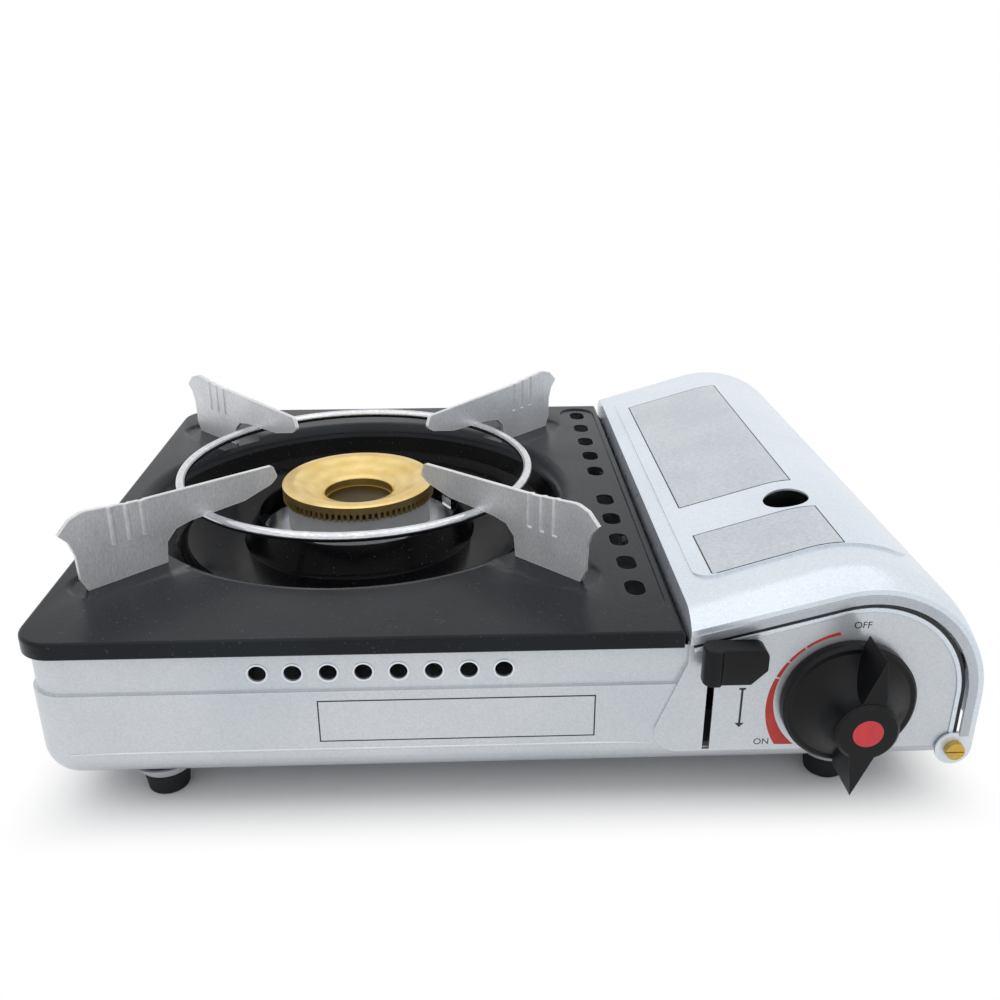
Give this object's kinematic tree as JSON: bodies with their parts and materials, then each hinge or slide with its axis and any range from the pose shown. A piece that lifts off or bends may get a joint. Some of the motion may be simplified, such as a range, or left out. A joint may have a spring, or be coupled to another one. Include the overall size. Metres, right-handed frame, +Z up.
{
  "type": "butane cassette stove",
  "caption": "Portable single-burner gas stove with an enamelled drip bowl, loose pan support, hinged cartridge lid, rotary gas knob and cartridge lock lever.",
  "frame": {"origin": "on the surface under the feet, below the centre of the bounding box of the whole stove", "axes": "+X to the right as the user faces the controls, +Y to the back, +Z up"},
  "size_m": [0.345, 0.2918, 0.1057],
  "materials": {
    "silver_enamel": "satin silver paint",
    "lid_enamel": "satin silver paint, brighter",
    "black_enamel": "gloss black enamel",
    "zinc_steel": "zinc-plated sheet",
    "screw_steel": "plated",
    "yellow_zinc": "yellow zinc plating",
    "black_rubber": "matte",
    "seal_rubber": "matte",
    "pan_steel": "grained silver coating",
    "chrome_wire": "bright",
    "brass": "machined",
    "valve_brass": "machined",
    "cast_aluminium": "as cast",
    "collar_steel": "bright sheet",
    "copper_tube": "copper, drawn",
    "zinc_casting": "die cast",
    "ceramic_white": "glazed ceramic",
    "electrode_steel": "wire",
    "lead_sleeve": "silicone sleeve",
    "black_plastic": "fine grain",
    "inner_plastic": "moulded",
    "red_plastic": "gloss"
  },
  "bodies": {
    "housing": {"base_shell": "silver_enamel", "feet": "black_rubber", "foot_screws": "screw_steel", "chassis_screws": "screw_steel", "partition_wall": "zinc_steel", "regulator_bulkhead": "zinc_steel", "mounting_screws": "screw_steel", "cartridge_cradle": "zinc_steel", "heat_transfer_plate": "cast_aluminium", "top_plate": "black_enamel", "hinge_screws": "yellow_zinc", "hinge_nuts": "yellow_zinc", "burner_cap": "brass", "burner_head": "cast_aluminium", "burner_collar": "collar_steel", "burner_bracket": "zinc_steel", "burner_screws": "screw_steel", "mixing_tube": "collar_steel", "jet_bracket": "zinc_steel", "jet_nozzle": "valve_brass", "gas_tube": "copper_tube", "electrode_ceramic": "ceramic_white", "electrode_wire": "electrode_steel", "electrode_bracket": "zinc_steel", "igniter_lead": "lead_sleeve", "igniter_body": "inner_plastic", "igniter_bracket": "zinc_steel", "regulator_body": "zinc_casting", "regulator_cover": "zinc_casting", "regulator_screws": "screw_steel", "inlet_seal": "seal_rubber", "lever_pivot": "screw_steel", "carriage_screws": "screw_steel"},
    "lid": {"lid": "lid_enamel"},
    "trivet": {"support_ring": "chrome_wire", "pan_support_front_left": "pan_steel", "pan_support_front_right": "pan_steel", "pan_support_rear_left": "pan_steel", "pan_support_rear_right": "pan_steel"},
    "knob": {"control_knob": "black_plastic", "knob_insert": "red_plastic", "valve_spindle": "valve_brass", "igniter_cam": "inner_plastic"},
    "plunger": {"igniter_plunger": "electrode_steel"},
    "lever": {"lever_arm": "zinc_steel", "lever_handle": "black_plastic"},
    "carriage": {"cartridge_carriage": "zinc_steel"}
  },
  "joints": [
    {"name": "trivet_lift", "type": "slide", "parent": "housing", "child": "trivet", "axis": [0, 0, 1], "range_m": [0, 0.03]},
    {"name": "lid_hinge", "type": "hinge", "parent": "housing", "child": "lid", "pos_m": [0.1657, 0, 0.0238], "axis": [0, 1, 0], "range_deg": [0, 100]},
    {"name": "knob_turn", "type": "hinge", "parent": "housing", "child": "knob", "pos_m": [0.12275, -0.12, 0.0466], "axis": [0, -1, 0], "range_deg": [0, 122]},
    {"name": "igniter_press", "type": "slide", "parent": "housing", "child": "plunger", "axis": [-1, 0, 0], "range_m": [0, 0.005]},
    {"name": "lever_swing", "type": "hinge", "parent": "housing", "child": "lever", "pos_m": [0.07315, -0.0638, 0.044], "axis": [1, 0, 0], "range_deg": [0, 33]},
    {"name": "carriage_slide", "type": "slide", "parent": "housing", "child": "carriage", "axis": [0, -1, 0], "range_m": [0, 0.0079]}
  ],
  "couplings": [
    {"joint": "igniter_press", "follows": "knob_turn", "m_per_rad": 0.0023482},
    {"joint": "carriage_slide", "follows": "lever_swing", "m_per_rad": 0.0137}
  ]
}
